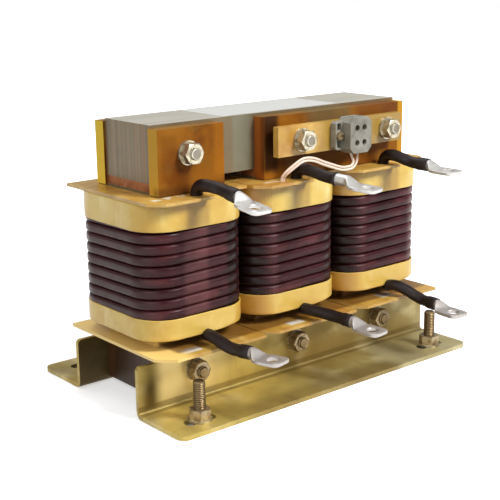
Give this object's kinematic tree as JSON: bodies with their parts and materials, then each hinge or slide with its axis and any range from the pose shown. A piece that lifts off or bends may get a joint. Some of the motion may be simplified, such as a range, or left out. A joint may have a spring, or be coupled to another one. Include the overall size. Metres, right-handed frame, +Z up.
{
  "type": "three-phase reactor",
  "caption": "Three-phase iron-core reactor with copper wound coils, sleeved leads with lugs, slotted feet and a terminal block",
  "frame": {"origin": "middle of the footprint, on the plane that the feet stand on", "axes": "+X along the core, from the short clamp plate to the terminal block; -Y the side that the leads come out of; +Z up"},
  "size_m": [0.27, 0.1992, 0.188],
  "materials": {
    "chromated_steel": "yellow chromated sheet, soft streaks",
    "laminate": "varnished brown board",
    "core_steel": "varnished laminations",
    "former_board": "varnished cream board",
    "enamelled_copper": "dark varnished enamel",
    "insulation": "varnished wrap",
    "winding_wrap": "varnished dark wrap between the layers",
    "plated_steel": "zinc plated",
    "sleeve_rubber": "black sleeve, satin",
    "tinned_copper": "tinned, dull",
    "block_plastic": "grey moulding",
    "brass_clamp": "plain brass",
    "wire_plastic": "pinkish beige insulation"
  },
  "bodies": {
    "root": {"front_bracket": "chromated_steel", "rear_bracket": "chromated_steel", "front_packing": "laminate", "rear_packing": "laminate", "lower_yoke": "core_steel", "upper_yoke": "core_steel", "left_limb": "core_steel", "middle_limb": "core_steel", "right_limb": "core_steel", "left_gap_shim": "laminate", "middle_gap_shim": "laminate", "right_gap_shim": "laminate", "left_former": "former_board", "middle_former": "former_board", "right_former": "former_board", "left_inner_winding": "enamelled_copper", "middle_inner_winding": "enamelled_copper", "right_inner_winding": "enamelled_copper", "left_wrap": "winding_wrap", "middle_wrap": "winding_wrap", "right_wrap": "winding_wrap", "left_outer_turns": "enamelled_copper", "middle_outer_turns": "enamelled_copper", "right_outer_turns": "enamelled_copper", "left_lower_collar": "insulation", "middle_lower_collar": "insulation", "right_lower_collar": "insulation", "left_upper_collar": "insulation", "middle_upper_collar": "insulation", "right_upper_collar": "insulation", "left_lower_plate": "former_board", "middle_lower_plate": "former_board", "right_lower_plate": "former_board", "left_upper_plate": "former_board", "middle_upper_plate": "former_board", "right_upper_plate": "former_board", "front_left_clamp": "laminate", "front_right_clamp": "laminate", "rear_left_clamp": "laminate", "rear_right_clamp": "laminate", "clamp_bolts": "plated_steel", "clamp_nuts": "plated_steel", "yoke_bolts": "plated_steel", "yoke_nuts": "plated_steel", "washers": "plated_steel", "foot_studs": "plated_steel", "foot_nuts": "plated_steel", "upper_leads": "enamelled_copper", "lower_leads": "enamelled_copper", "upper_sleeves": "sleeve_rubber", "lower_sleeves": "sleeve_rubber", "upper_lugs": "tinned_copper", "lower_lugs": "tinned_copper", "terminal_bar": "former_board", "bar_spacers": "plated_steel", "terminal_block": "block_plastic", "block_clamps": "brass_clamp", "block_screws": "plated_steel", "thermal_switch": "block_plastic", "switch_wires": "wire_plastic"}
  },
  "joints": []
}
